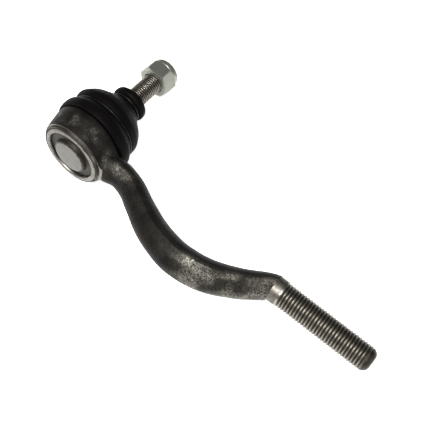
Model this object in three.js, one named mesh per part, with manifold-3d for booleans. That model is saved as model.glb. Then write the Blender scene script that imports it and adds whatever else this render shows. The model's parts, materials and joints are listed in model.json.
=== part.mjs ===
// Outer tie rod end with a swan-neck forging: a forged socket whose shank ends in a male thread,
// a ball stud running in two acetal bearing rings, a disc spring and a closing plate rolled in
// behind them, a rubber boot with its two wire rings, and a self-locking nut on the stud.
//
// Millimetres. The stud axis is Y and the stud points along +Y, the shank thread axis is X, both
// pass through the ball centre, and the swan neck bends in the XY plane. The part lies on its side,
// with +Z up. The origin is the centre of the closing plate's raised button.
import * as THREE from "three";
import { mergeVertices } from "three/addons/utils/BufferGeometryUtils.js";
import Module from "manifold-3d";

// ---- Driving dimensions ---------------------------------------------------------------------

const GAP = 0.3; // clearance between pieces that seat on each other
const WALL_OUT = 0.15; // how far a cutter runs past the face it cuts

// Ball stud. Heights are measured along the stud axis from the ball centre.
const BALL_R = 12.5;
const BALL_FLAT_Y = -8.5; // the ball is faced off at its pole
const STUD_NECK_R = 6.6;
const STUD_THREAD_R = 6.4; // drawn plain, a little under the crests of a 13 mm thread
const TAPER_START_Y = 24;
const TAPER_END_Y = 43;
const TAPER_END_R = STUD_THREAD_R + 0.5;
const TAPER_START_R = TAPER_END_R + 1.3;
const STUD_THREAD_START_Y = 45.2;
const STUD_END_Y = 75.5;
const STUD_CHAMFER = 0.9;

// Head of the forging.
const BEARING_WALL = 4.1; // where a bearing ring is thinnest, at the ball's equator
const BORE_R = BALL_R + BEARING_WALL + 2 * GAP;
const RIM_Y = -13.2; // plane of the rolled lip
const PLATE_SEAT_Y = -9.0;
const PLATE_R = BORE_R + 1;
const LIP_THICKNESS = 1.5;
const LIP_REACH = 1.8; // how far the lip is folded in over the plate
const LIP_OPENING_R = PLATE_R - LIP_REACH;
const LIP_OUTER_R = PLATE_R + 2.1;
const RIM_BAND_R = LIP_OUTER_R + 1.5; // turned band behind the lip
const HEAD_WALL = 7.1;
const HEAD_TOP_R = BORE_R + HEAD_WALL; // where the boot bead begins
const BOOT_GROOVE_R = HEAD_TOP_R - 3.9;
const BOOT_FLANGE_R = BOOT_GROOVE_R + 1.2;
const SHOULDER_Y = BALL_R - 4.6; // inner shoulder that carries the upper bearing
const HEAD_END_Y = SHOULDER_Y + 5.5;
const HEAD_TOP_Y = HEAD_END_Y - 9.4;
const SWING_CLEARANCE = 0.45;
const TILT_DEG = 20; // how far the stud tilts in any direction

// Bearing rings, disc spring and closing plate.
const BEARING_SPLIT = 0.2; // half of the gap between the two rings
const LOWER_BEARING_Y = -6.9;
const DISC_SPRING_THICKNESS = 0.9;
const DISC_SPRING_WIDTH = 5.2;
const DISC_SPRING_OUTER_R = BORE_R - 0.7;
const DISC_SPRING_INNER_R = DISC_SPRING_OUTER_R - DISC_SPRING_WIDTH;
const PLATE_THICKNESS = 1.9;
const BUTTON_PROUD = 1.2; // button face beyond the lip
const BUTTON_R = PLATE_R - 6.8;

// Swan neck: centreline and section at each station, from the head to the thread.
// x and y are measured from the ball centre, across is the width along Z and deep is square to it.
const NECK = [
  { x: 17, y: -3.4, deep: 19.2, across: 23.0 },
  { x: 23, y: -3.3, deep: 18.2, across: 19.8 },
  { x: 31, y: -2.4, deep: 17.2, across: 17.6 },
  { x: 42, y: -5.3, deep: 17.0, across: 17.0 },
  { x: 53, y: -11.2, deep: 17.8, across: 17.4 },
  { x: 68, y: -18.4, deep: 19.6, across: 19.0 },
  { x: 84, y: -22.6, deep: 21.0, across: 20.4 },
  { x: 98, y: -22.7, deep: 21.2, across: 20.6 },
  { x: 112, y: -19.2, deep: 20.4, across: 19.8 },
  { x: 127, y: -11.3, deep: 18.6, across: 18.2 },
  { x: 140, y: -1.9, deep: 16.8, across: 16.6 },
  { x: 147, y: 1.4, deep: 11.0, across: 11.0 },
];
const PARTING_RIDGE = 0.35; // trimmed flash left along both sides of the neck
const NECK_SIDES = 20;
const NECK_STEPS = 42;

// Turned and threaded end of the shank.
const SHANK_R = 8.0;
const SHANK_THREAD_R = 7.9; // M16, drawn plain a little under the crests
const SHANK_START_X = 143.5;
const SHANK_THREAD_X = 149;
const SHANK_END_X = 212;
const SHANK_POINT = 7; // length of the rounded point
const SHANK_POINT_X = SHANK_END_X - SHANK_POINT;
const SHANK_END_R = 3.9;

// Dust boot.
const BOOT_WALL = 2.2;
const BEAD_R = HEAD_TOP_R + 2;
const BEAD_TOP_Y = HEAD_END_Y + 1;
const CREASE_Y = HEAD_END_Y + 2.2;
const CREASE_R = BOOT_FLANGE_R + 0.8;
const BULGE_R = CREASE_R + 1.2;
const BULGE_Y = CREASE_Y + 4.9;
const BOOT_NECK_Y = BULGE_Y + 16.5;
const BOOT_NECK_WALL = 1.3;
const COLLAR_WALL = 4.09;
const COLLAR_TOP_Y = BOOT_NECK_Y + 7.4;
const LOWER_RING_WIRE = 1.5;
const UPPER_RING_WIRE = 1.5;

// Self-locking hexagon nut.
const NUT_Y = 64;
const NUT_WALL = 3.7; // from the stud thread to the middle of a flat
const NUT_ACROSS_FLATS = 2 * (STUD_THREAD_R + NUT_WALL);
const NUT_HEX_HEIGHT = 10;
const NUT_HEIGHT = 14.5;
const NYLON_THICKNESS = 3.0;
const NYLON_R = STUD_THREAD_R + 2;
const NUT_COLLAR_R = NYLON_R + 1.1;
const NUT_CRIMP_R = NYLON_R - 0.9;

const ROUND = 36; // segments round a large turned surface
const ROUND_SMALL = 24;

// ---- Derived places -------------------------------------------------------------------------

const BALL_Y = BUTTON_PROUD - RIM_Y; // height of the ball centre over the origin
const TILT = THREE.MathUtils.degToRad(TILT_DEG);
const BEARING_R = BALL_R + GAP;

// Radius that the tilted stud neck sweeps at height y over the ball centre.
function sweptRadius(y) {
  return y * Math.tan(TILT) + STUD_NECK_R / Math.cos(TILT);
}

// Radius of the stud at height y over the ball centre.
function studRadius(y) {
  if (y < TAPER_START_Y) return STUD_NECK_R;
  const t = Math.min(1, (y - TAPER_START_Y) / (TAPER_END_Y - TAPER_START_Y));
  return THREE.MathUtils.lerp(TAPER_START_R, TAPER_END_R, t);
}

// ---- Solids ---------------------------------------------------------------------------------

const wasm = await Module();
wasm.setup();

function toSolid(geometry) {
  const bare = geometry.index ? geometry.toNonIndexed() : geometry.clone();
  for (const name of ["normal", "uv"]) bare.deleteAttribute(name);
  const merged = mergeVertices(bare, 1e-4);
  return new wasm.Manifold(
    new wasm.Mesh({
      numProp: 3,
      vertProperties: merged.attributes.position.array,
      triVerts: new Uint32Array(merged.index.array),
    }),
  );
}

function toGeometry(solid) {
  const mesh = solid.getMesh();
  const geometry = new THREE.BufferGeometry();
  geometry.setAttribute("position", new THREE.BufferAttribute(mesh.vertProperties, 3));
  geometry.setIndex(new THREE.BufferAttribute(mesh.triVerts, 1));
  geometry.computeVertexNormals();
  return geometry;
}

// A solid turned about the stud axis from an outline of [radius, height] pairs.
// An outline that doesn't start and end on the axis is a ring, and is closed on itself.
function turned(outline, segments = ROUND) {
  const points = outline.map(([r, y]) => new THREE.Vector2(r, y));
  const onAxis = outline[0][0] === 0 && outline.at(-1)[0] === 0;
  if (!onAxis) points.push(points[0].clone());
  return new THREE.LatheGeometry(points, segments);
}

// Points along a circular arc about a centre on the stud axis or beside it, ends included.
function arc(centreR, centreY, radius, fromDeg, toDeg, steps) {
  const points = [];
  for (let i = 0; i <= steps; i++) {
    const a = THREE.MathUtils.degToRad(fromDeg + ((toDeg - fromDeg) * i) / steps);
    points.push([centreR + radius * Math.cos(a), centreY + radius * Math.sin(a)]);
  }
  return points;
}

const degrees = (radians) => THREE.MathUtils.radToDeg(radians);

// ---- Forging --------------------------------------------------------------------------------

function headOutline() {
  return [
    [0, RIM_Y],
    [LIP_OUTER_R - 0.5, RIM_Y],
    [LIP_OUTER_R, RIM_Y + 0.4],
    [LIP_OUTER_R + 0.1, RIM_Y + 1.1],
    [RIM_BAND_R, RIM_Y + 1.7],
    [RIM_BAND_R + 0.7, RIM_Y + 4.4],
    [THREE.MathUtils.lerp(RIM_BAND_R, HEAD_TOP_R, 0.75), -3],
    [HEAD_TOP_R, HEAD_TOP_Y - 2],
    [HEAD_TOP_R - 0.5, HEAD_TOP_Y],
    [BOOT_GROOVE_R, HEAD_TOP_Y + 0.8],
    [BOOT_GROOVE_R, HEAD_TOP_Y + 4.6],
    [BOOT_FLANGE_R, HEAD_TOP_Y + 5.4],
    [BOOT_FLANGE_R, HEAD_END_Y - 1.6],
    [BOOT_FLANGE_R - 1.6, HEAD_END_Y],
    [0, HEAD_END_Y],
  ];
}

// Bore for the bearings, seat for the closing plate, and the mouth that the stud tilts in.
function cavityOutline() {
  return [
    [0, RIM_Y - WALL_OUT],
    [LIP_OPENING_R + 0.3, RIM_Y - WALL_OUT],
    [LIP_OPENING_R, RIM_Y + LIP_THICKNESS],
    [PLATE_R + GAP, RIM_Y + LIP_THICKNESS],
    [PLATE_R + GAP, PLATE_SEAT_Y],
    [BORE_R, PLATE_SEAT_Y],
    [BORE_R, SHOULDER_Y],
    [sweptRadius(SHOULDER_Y) + SWING_CLEARANCE, SHOULDER_Y],
    [sweptRadius(HEAD_END_Y) + SWING_CLEARANCE, HEAD_END_Y + WALL_OUT],
    [0, HEAD_END_Y + WALL_OUT],
  ];
}

// The swan neck: a unit cylinder whose rings are laid along the centreline and sized by station.
function neckGeometry() {
  const centre = new THREE.CatmullRomCurve3(
    NECK.map((s) => new THREE.Vector3(s.x, s.y, 0)),
    false,
    "centripetal",
  );
  const sizes = new THREE.CatmullRomCurve3(
    NECK.map((s) => new THREE.Vector3(s.deep / 2, s.across / 2, 0)),
    false,
    "catmullrom",
    0.5,
  );
  const geometry = new THREE.CylinderGeometry(1, 1, 1, NECK_SIDES, NECK_STEPS);
  const place = geometry.attributes.position;
  for (let i = 0; i < place.count; i++) {
    const along = place.getY(i) + 0.5;
    const mid = centre.getPoint(along);
    const heading = centre.getTangent(along);
    const size = sizes.getPoint(along);
    const side = place.getZ(i);
    const radius = Math.hypot(place.getX(i), side);
    const ridge = PARTING_RIDGE * Math.abs(side) ** 12;
    const deep = place.getX(i) * size.x;
    place.setXYZ(
      i,
      mid.x + heading.y * deep,
      mid.y - heading.x * deep,
      side * (size.y + (radius > 0.5 ? ridge : 0)),
    );
  }
  return geometry;
}

// Turned relief over the root of the neck, where the boot bead sits.
function reliefOutline() {
  return [
    [BEAD_R + 2 * GAP, HEAD_TOP_Y],
    [BEAD_R + 2 * GAP, HEAD_END_Y + WALL_OUT],
    [BOOT_GROOVE_R - WALL_OUT, HEAD_END_Y + WALL_OUT],
    [BOOT_GROOVE_R - WALL_OUT, HEAD_TOP_Y],
  ];
}

// Turned about Y, and laid along +X when it joins the forging.
function shankOutline() {
  return [
    [0, SHANK_START_X],
    [SHANK_R - 0.5, SHANK_START_X],
    [SHANK_R, SHANK_START_X + 0.5],
    [SHANK_R, SHANK_THREAD_X],
    [SHANK_THREAD_R, SHANK_THREAD_X + 0.2],
    [SHANK_THREAD_R, SHANK_POINT_X],
    [THREE.MathUtils.lerp(SHANK_THREAD_R, SHANK_END_R, 0.22), SHANK_POINT_X + 2.6],
    [THREE.MathUtils.lerp(SHANK_THREAD_R, SHANK_END_R, 0.6), SHANK_END_X - 1.6],
    [SHANK_END_R, SHANK_END_X],
    [0, SHANK_END_X],
  ];
}

function socketForging() {
  const head = toSolid(turned(headOutline()));
  const cavity = toSolid(turned(cavityOutline()));
  const neck = toSolid(neckGeometry());
  const shank = toSolid(turned(shankOutline(), ROUND_SMALL).rotateZ(-Math.PI / 2));
  const relief = toSolid(turned(reliefOutline()));
  return toGeometry(head.add(neck.subtract(relief)).add(shank).subtract(cavity));
}

// ---- Stud, bearings, spring and plate ---------------------------------------------------------

function ballStud() {
  const top = degrees(Math.acos(STUD_NECK_R / BALL_R));
  const bottom = degrees(Math.asin(BALL_FLAT_Y / BALL_R));
  return turned([
    [0, BALL_FLAT_Y],
    ...arc(0, 0, BALL_R, bottom, top, 12),
    [STUD_NECK_R, STUD_NECK_R * Math.tan(THREE.MathUtils.degToRad(top)) + 1],
    [STUD_NECK_R, TAPER_START_Y - 5],
    [TAPER_START_R - 0.1, TAPER_START_Y - 1.5],
    [TAPER_START_R, TAPER_START_Y],
    [studRadius(TAPER_END_Y), TAPER_END_Y],
    [STUD_THREAD_R - 0.8, TAPER_END_Y + 0.8],
    [STUD_THREAD_R - 0.8, STUD_THREAD_START_Y - 0.8],
    [STUD_THREAD_R, STUD_THREAD_START_Y],
    [STUD_THREAD_R, STUD_END_Y - STUD_CHAMFER],
    [STUD_THREAD_R - STUD_CHAMFER, STUD_END_Y],
    [0, STUD_END_Y],
  ]);
}

function upperBearing() {
  const top = SHOULDER_Y - GAP;
  const from = degrees(Math.asin(BEARING_SPLIT / BEARING_R));
  const to = degrees(Math.asin(top / BEARING_R));
  return turned([
    [BORE_R - GAP, BEARING_SPLIT],
    [BORE_R - GAP, top - 0.6],
    [BORE_R - GAP - 0.6, top],
    ...arc(0, 0, BEARING_R, from, to, 5).reverse(),
  ]);
}

function lowerBearing() {
  const from = degrees(Math.asin(LOWER_BEARING_Y / BEARING_R));
  const to = degrees(Math.asin(-BEARING_SPLIT / BEARING_R));
  return turned([
    [BORE_R - GAP - 0.6, LOWER_BEARING_Y],
    [BORE_R - GAP, LOWER_BEARING_Y + 0.6],
    [BORE_R - GAP, -BEARING_SPLIT],
    ...arc(0, 0, BEARING_R, from, to, 5).reverse(),
  ]);
}

// A coned ring: its outer edge sits on the closing plate and its inner edge on the lower bearing.
function discSpring() {
  const low = PLATE_SEAT_Y;
  const high = LOWER_BEARING_Y - GAP;
  return turned([
    [DISC_SPRING_OUTER_R, low],
    [DISC_SPRING_OUTER_R, low + DISC_SPRING_THICKNESS],
    [DISC_SPRING_INNER_R, high],
    [DISC_SPRING_INNER_R, high - DISC_SPRING_THICKNESS],
  ]);
}

function closingPlate() {
  const face = RIM_Y - BUTTON_PROUD;
  const flangeLow = RIM_Y + LIP_THICKNESS + GAP;
  const flangeHigh = PLATE_SEAT_Y - GAP;
  const inside = face + PLATE_THICKNESS;
  return turned([
    [0, face],
    [BUTTON_R - 0.5, face],
    [BUTTON_R, face + 0.4],
    [BUTTON_R + 0.7, flangeLow - 0.4],
    [BUTTON_R + 1.2, flangeLow],
    [PLATE_R, flangeLow],
    [PLATE_R, flangeHigh],
    [BUTTON_R - 0.9, flangeHigh],
    [BUTTON_R - PLATE_THICKNESS, inside],
    [0, inside],
  ]);
}

// ---- Boot and its rings -----------------------------------------------------------------------

const ringGrooveR = studRadius(BOOT_NECK_Y) + GAP + BOOT_NECK_WALL;
const collarR = studRadius(BOOT_NECK_Y) + GAP + COLLAR_WALL;

function dustBoot() {
  const seat = HEAD_TOP_Y + GAP;
  const collarBore = studRadius(COLLAR_TOP_Y) + GAP;
  const neckBore = studRadius(BOOT_NECK_Y) + GAP;
  const ringHalf = UPPER_RING_WIRE / 2 + 0.15;
  const outside = [
    [HEAD_TOP_R - 0.6, seat + 0.2],
    [HEAD_TOP_R + 1.2, seat - 0.1],
    [BEAD_R - 0.6, seat + 1.4],
    [BEAD_R, seat + 4.2],
    [BEAD_R - 0.8, seat + 7.4],
    [BEAD_R - 2.6, BEAD_TOP_Y],
    [CREASE_R, CREASE_Y - 0.9],
    [CREASE_R, CREASE_Y + 0.9],
    [CREASE_R + 0.9, CREASE_Y + 1.7],
    [BULGE_R, BULGE_Y - 1.6],
    [BULGE_R - 0.2, BULGE_Y + 1],
    [BULGE_R - 1.5, BULGE_Y + 4.2],
    [BULGE_R - 4.4, BULGE_Y + 8],
    [BULGE_R - 8.2, BULGE_Y + 11.4],
    [BULGE_R - 12, BULGE_Y + 14.2],
    [ringGrooveR + 1.5, BOOT_NECK_Y - ringHalf - 0.7],
    [ringGrooveR, BOOT_NECK_Y - ringHalf],
    [ringGrooveR, BOOT_NECK_Y + ringHalf],
    [collarR - 0.7, BOOT_NECK_Y + ringHalf + 0.7],
    [collarR, BOOT_NECK_Y + 3.4],
    [collarR - 0.3, COLLAR_TOP_Y - 1.6],
    [collarR - 2.2, COLLAR_TOP_Y],
  ];
  const inside = [
    [collarBore, COLLAR_TOP_Y],
    [neckBore, BOOT_NECK_Y - ringHalf],
    [BULGE_R - BOOT_WALL - 10.4, BULGE_Y + 11.6],
    [BULGE_R - BOOT_WALL - 4.8, BULGE_Y + 6.6],
    [BULGE_R - BOOT_WALL - 1.5, BULGE_Y + 2.8],
    [BULGE_R - BOOT_WALL, BULGE_Y - 0.6],
    [CREASE_R - BOOT_WALL + 0.6, CREASE_Y + 1.4],
    [CREASE_R - BOOT_WALL, HEAD_END_Y + GAP],
    [BOOT_FLANGE_R - 1.6 + GAP, HEAD_END_Y + GAP],
    [BOOT_FLANGE_R + GAP, HEAD_END_Y - 1.6 + GAP],
    [BOOT_FLANGE_R + GAP, HEAD_TOP_Y + 5.2],
    [BOOT_GROOVE_R + GAP, HEAD_TOP_Y + 4.4],
    [BOOT_GROOVE_R + GAP, HEAD_TOP_Y + 1.1],
  ];
  return turned([...outside, ...inside]);
}

function wireRing(innerR, height, wire) {
  return turned(arc(innerR + wire / 2, height, wire / 2, -150, 150, 5));
}

// ---- Nut --------------------------------------------------------------------------------------

function nutBody() {
  const corner = NUT_ACROSS_FLATS / Math.sqrt(3);
  const hexagon = new THREE.Shape();
  for (let i = 0; i < 6; i++) {
    const a = (Math.PI / 3) * i;
    const point = [corner * Math.cos(a), corner * Math.sin(a)];
    if (i === 0) hexagon.moveTo(...point);
    else hexagon.lineTo(...point);
  }
  hexagon.closePath();
  // extruded along Z, then stood up along the stud axis
  const prism = new THREE.ExtrudeGeometry(hexagon, { depth: NUT_HEX_HEIGHT, bevelEnabled: false });
  prism.rotateX(-Math.PI / 2);
  const chamfer = (corner - NUT_ACROSS_FLATS / 2) * 1.1;
  const rounding = turned([
    [0, 0],
    [corner - chamfer, 0],
    [corner, chamfer * 0.58],
    [corner, NUT_HEX_HEIGHT - chamfer * 0.9],
    [corner - chamfer, NUT_HEX_HEIGHT],
    [0, NUT_HEX_HEIGHT],
  ]);
  const collar = turned([
    [0, NUT_HEX_HEIGHT - 1],
    [NUT_COLLAR_R, NUT_HEX_HEIGHT - 1],
    [NUT_COLLAR_R, NUT_HEIGHT - 1.9],
    [NUT_COLLAR_R - 0.7, NUT_HEIGHT - 0.5],
    [NUT_COLLAR_R - 1.9, NUT_HEIGHT],
    [0, NUT_HEIGHT],
  ]);
  const boreR = STUD_THREAD_R + GAP;
  const bore = turned([
    [0, -WALL_OUT],
    [boreR + 0.7, -WALL_OUT],
    [boreR, 0.6],
    [boreR, NUT_HEX_HEIGHT],
    [NYLON_R + GAP, NUT_HEX_HEIGHT],
    [NYLON_R + GAP, NUT_HEX_HEIGHT + NYLON_THICKNESS + 2 * GAP],
    [NUT_CRIMP_R, NUT_HEX_HEIGHT + NYLON_THICKNESS + 2 * GAP + 0.3],
    [NUT_CRIMP_R, NUT_HEIGHT + WALL_OUT],
    [0, NUT_HEIGHT + WALL_OUT],
  ], ROUND_SMALL);
  const hex = toSolid(prism).intersect(toSolid(rounding));
  return toGeometry(hex.add(toSolid(collar)).subtract(toSolid(bore)));
}

function nylonInsert() {
  const low = NUT_HEX_HEIGHT + GAP;
  return turned([
    [NYLON_R, low],
    [NYLON_R, low + NYLON_THICKNESS],
    [STUD_THREAD_R + GAP, low + NYLON_THICKNESS],
    [STUD_THREAD_R + GAP, low],
  ], ROUND_SMALL);
}

// ---- Assembly ---------------------------------------------------------------------------------

const finishes = {
  forgedSteel: { color: 0x54524d, roughness: 0.55, metalness: 0.85 },
  studSteel: { color: 0x6c6a64, roughness: 0.4, metalness: 0.95 },
  acetal: { color: 0xe6e2d6, roughness: 0.45, metalness: 0 },
  springSteel: { color: 0x4a4947, roughness: 0.4, metalness: 0.9 },
  zincPlate: { color: 0x8f8f8a, roughness: 0.45, metalness: 0.8 },
  bootRubber: { color: 0x121111, roughness: 0.6, metalness: 0 },
  zincNut: { color: 0xa3a599, roughness: 0.4, metalness: 0.8 },
  nylon: { color: 0xd9dcd2, roughness: 0.5, metalness: 0 },
};

const tieRodEnd = new THREE.Group();
const aboutBall = new THREE.Group(); // its zero is the ball centre
aboutBall.position.y = BALL_Y;
tieRodEnd.add(aboutBall);

function addPiece(name, geometry, finish, height = 0) {
  const mesh = new THREE.Mesh(geometry, new THREE.MeshStandardMaterial(finishes[finish]));
  mesh.name = name;
  mesh.position.y = height;
  aboutBall.add(mesh);
}

addPiece("socket_forging", socketForging(), "forgedSteel");
addPiece("ball_stud", ballStud(), "studSteel");
addPiece("upper_bearing", upperBearing(), "acetal");
addPiece("lower_bearing", lowerBearing(), "acetal");
addPiece("disc_spring", discSpring(), "springSteel");
addPiece("closing_plate", closingPlate(), "zincPlate");
addPiece("dust_boot", dustBoot(), "bootRubber");
addPiece("lower_boot_ring", wireRing(CREASE_R + GAP, CREASE_Y, LOWER_RING_WIRE), "springSteel");
addPiece("upper_boot_ring", wireRing(ringGrooveR + GAP, BOOT_NECK_Y, UPPER_RING_WIRE), "springSteel");
addPiece("nut_body", nutBody(), "zincNut", NUT_Y);
addPiece("nut_nylon_insert", nylonInsert(), "nylon", NUT_Y);

export default tieRodEnd;
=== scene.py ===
"""An outer tie rod end: swan-neck forging, ball joint, rubber boot and self-locking nut.

Lengths in the outlines are millimetres, measured along the stud from the ball centre. Everything
handed to Blender is metres.
"""

import json
import math

import bpy
from bpy.props import FloatProperty, FloatVectorProperty, IntProperty, PointerProperty
from mathutils import Matrix, Vector, noise


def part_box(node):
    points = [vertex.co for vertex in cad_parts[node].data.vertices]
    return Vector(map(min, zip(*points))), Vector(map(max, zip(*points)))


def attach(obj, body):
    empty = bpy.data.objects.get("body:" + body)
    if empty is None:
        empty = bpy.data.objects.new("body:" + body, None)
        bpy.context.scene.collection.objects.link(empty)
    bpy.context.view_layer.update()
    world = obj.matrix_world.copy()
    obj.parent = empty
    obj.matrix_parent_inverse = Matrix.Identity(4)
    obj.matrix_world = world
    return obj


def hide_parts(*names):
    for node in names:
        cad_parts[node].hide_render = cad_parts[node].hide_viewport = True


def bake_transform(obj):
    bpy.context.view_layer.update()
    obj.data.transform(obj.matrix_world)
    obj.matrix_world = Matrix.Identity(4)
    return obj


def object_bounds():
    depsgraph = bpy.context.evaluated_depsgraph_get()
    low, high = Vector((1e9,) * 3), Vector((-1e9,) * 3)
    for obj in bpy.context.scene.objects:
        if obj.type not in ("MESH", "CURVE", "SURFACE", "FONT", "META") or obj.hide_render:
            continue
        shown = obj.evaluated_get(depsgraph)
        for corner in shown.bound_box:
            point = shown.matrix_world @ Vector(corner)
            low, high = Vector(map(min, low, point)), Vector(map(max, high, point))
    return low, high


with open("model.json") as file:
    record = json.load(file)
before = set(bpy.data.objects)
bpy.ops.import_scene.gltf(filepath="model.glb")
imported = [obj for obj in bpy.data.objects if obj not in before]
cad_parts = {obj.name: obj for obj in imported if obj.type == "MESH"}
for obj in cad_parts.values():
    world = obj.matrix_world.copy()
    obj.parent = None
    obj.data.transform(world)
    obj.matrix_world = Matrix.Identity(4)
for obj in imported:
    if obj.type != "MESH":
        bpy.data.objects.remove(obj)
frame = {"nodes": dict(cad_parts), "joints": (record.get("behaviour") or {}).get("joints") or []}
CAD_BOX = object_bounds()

bl_info = {
    "name": "Tie rod end",
    "version": (1, 0, 0),
    "blender": (4, 5, 0),
    "location": "View3D > Sidebar > Tie rod end",
    "description": "Models a swan-neck tie rod end, its boot and its locknut round a fixed frame",
    "category": "Add Mesh",
}

MM = 0.001
TILT_JOINT = next(j for j in frame["joints"] if j["name"] == "stud_tilt")
BALL = Vector(TILT_JOINT["pos_m"])
FORGING_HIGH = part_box("socket_forging")[1]
PLATE_LOW, PLATE_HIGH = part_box("closing_plate")
STUD_LOW, STUD_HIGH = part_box("ball_stud")
BOOT_LOW, BOOT_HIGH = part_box("dust_boot")
NUT_LOW, NUT_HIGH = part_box("nut_body")
INSERT_LOW, INSERT_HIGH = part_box("nut_nylon_insert")


def above_ball(y):
    """Height of a place over the ball centre, in millimetres."""
    return (y - BALL.y) / MM


BUTTON_PROUD = 1.2  # how far the plate's button stands past the rolled lip
RIM_Y = above_ball(PLATE_LOW.y) + BUTTON_PROUD
SHANK_END_X = FORGING_HIGH.x / MM
STUD_END_Y = above_ball(STUD_HIGH.y)
NUT_Y = above_ball(NUT_LOW.y)
NUT_TOP_Y = above_ball(NUT_HIGH.y)
BOOT_TOP_Y = above_ball(BOOT_HIGH.y)
BEAD_R = BOOT_HIGH.z / MM

# Places that the pieces share, from the ball centre.
LIP_OPENING_R = 16.4
LIP_OUTER_R = 20.3
LEDGE_R = 21.9
HEAD_TOP_R = 24.3
HEAD_TOP_Y = 4.0
HEAD_END_Y = 13.4
BOOT_GROOVE_R = 20.4
BOOT_FLANGE_R = 21.6
BORE_R = 17.2
PLATE_R = 18.2
SHOULDER_Y = 7.9
BALL_R = 12.5
STUD_NECK_R = 6.6
STUD_ROOT_R = 5.7  # relief between the taper and the thread
ROD_START_Y = 44.3  # where the threaded rod starts, inside the end of the taper
CREASE_Y = 15.6
RING_Y = 37.0
BAND_START_X = 143.5
THREAD_START_X = 149.0
THREAD_STEPS = 60  # faces round each thread
ON_AXIS_MM = 0.5  # a thread's points nearer its axis than this stay where they are

# Camera: degrees about the object, then its place from the ball centre along its own axes.
CAMERA_AZIMUTH = 23.5
CAMERA_ELEVATION = 58.62
CAMERA_ROLL = 16.8
CAMERA_BACK_MM = 540
CAMERA_RIGHT_MM = 78.4
CAMERA_DOWN_MM = 43.4

# Swan neck stations: distance along X, centre height, depth in the plane of the bend, width.
NECK = [
    (17, -3.4, 19.2, 23.0),
    (23, -3.3, 18.2, 19.8),
    (31, -2.4, 17.2, 17.6),
    (42, -5.3, 17.0, 17.0),
    (53, -11.2, 17.8, 17.4),
    (68, -18.4, 19.6, 19.0),
    (84, -22.6, 21.0, 20.4),
    (98, -22.7, 21.2, 20.6),
    (112, -19.2, 20.4, 19.8),
    (127, -11.3, 18.6, 18.2),
    (140, -1.9, 16.9, 16.7),
    (148, 2.2, 15.4, 15.6),
]


# ---- Colour and nodes --------------------------------------------------------------------------


def linear(hex_code):
    """The linear RGBA of an sRGB hex value."""
    channels = [(hex_code >> shift & 255) / 255 for shift in (16, 8, 0)]
    bright = [c / 12.92 if c <= 0.04045 else ((c + 0.055) / 1.055) ** 2.4 for c in channels]
    return (*bright, 1.0)


def add_node(tree, kind, links=None, **settings):
    """Adds a node, sets what it is told and feeds each named input a socket or a value."""
    made = tree.nodes.new(kind)
    for key, value in settings.items():
        setattr(made, key, value)
    for key, value in (links or {}).items():
        if isinstance(value, bpy.types.NodeSocket):
            tree.links.new(value, made.inputs[key])
        else:
            made.inputs[key].default_value = value
    return made


def start_material(name, metallic, roughness):
    """A new material with its shader's even values set, and its tree and Object coordinates."""
    material = bpy.data.materials.new(name)
    material.use_nodes = True
    tree = material.node_tree
    shader = tree.nodes["Principled BSDF"]
    shader.inputs["Metallic"].default_value = metallic
    shader.inputs["Roughness"].default_value = roughness
    place = add_node(tree, "ShaderNodeTexCoord").outputs["Object"]
    return material, tree, shader, place


def grain(tree, place, size_mm, detail=3.0, distortion=0.0):
    """Noise whose lumps are about size_mm across."""
    links = {"Vector": place, "Scale": 1 / (size_mm * MM), "Detail": detail}
    links["Distortion"] = distortion
    return add_node(tree, "ShaderNodeTexNoise", links).outputs["Fac"]


def ramp(tree, value, low, high, to_low=0.0, to_high=1.0):
    """Spreads low..high of a value over to_low..to_high, and holds it there."""
    links = {"Value": value, "From Min": low, "From Max": high, "To Min": to_low, "To Max": to_high}
    return add_node(tree, "ShaderNodeMapRange", links).outputs["Result"]


def mixed(tree, share, first, second):
    """Colour between two colours."""
    links = {0: share, 6: first, 7: second}
    return add_node(tree, "ShaderNodeMix", links, data_type="RGBA").outputs[2]


def maths(tree, operation, first, second):
    """One sum on two values."""
    links = {0: first, 1: second}
    return add_node(tree, "ShaderNodeMath", links, operation=operation).outputs[0]


def radius_about(tree, place, axis):
    """Distance from the stud axis (axis "Y") or from the shank axis (axis "X"), in metres."""
    keep = (1, 0, 1) if axis == "Y" else (0, 1, 1)
    centre = (0, 0, 0) if axis == "Y" else (0, -BALL.y, 0)
    links = {"Vector": place, "Location": centre, "Scale": keep}
    moved = add_node(tree, "ShaderNodeMapping", links)
    length = {0: moved.outputs["Vector"]}
    return add_node(tree, "ShaderNodeVectorMath", length, operation="LENGTH").outputs["Value"]


def bump(tree, height, depth_mm, strength=1.0, under=None):
    """Relief of depth_mm from a 0..1 height, over another relief."""
    links = {"Height": height, "Distance": depth_mm * MM, "Strength": strength}
    if under is not None:
        links["Normal"] = under
    return add_node(tree, "ShaderNodeBump", links).outputs["Normal"]


# ---- Materials ---------------------------------------------------------------------------------


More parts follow.
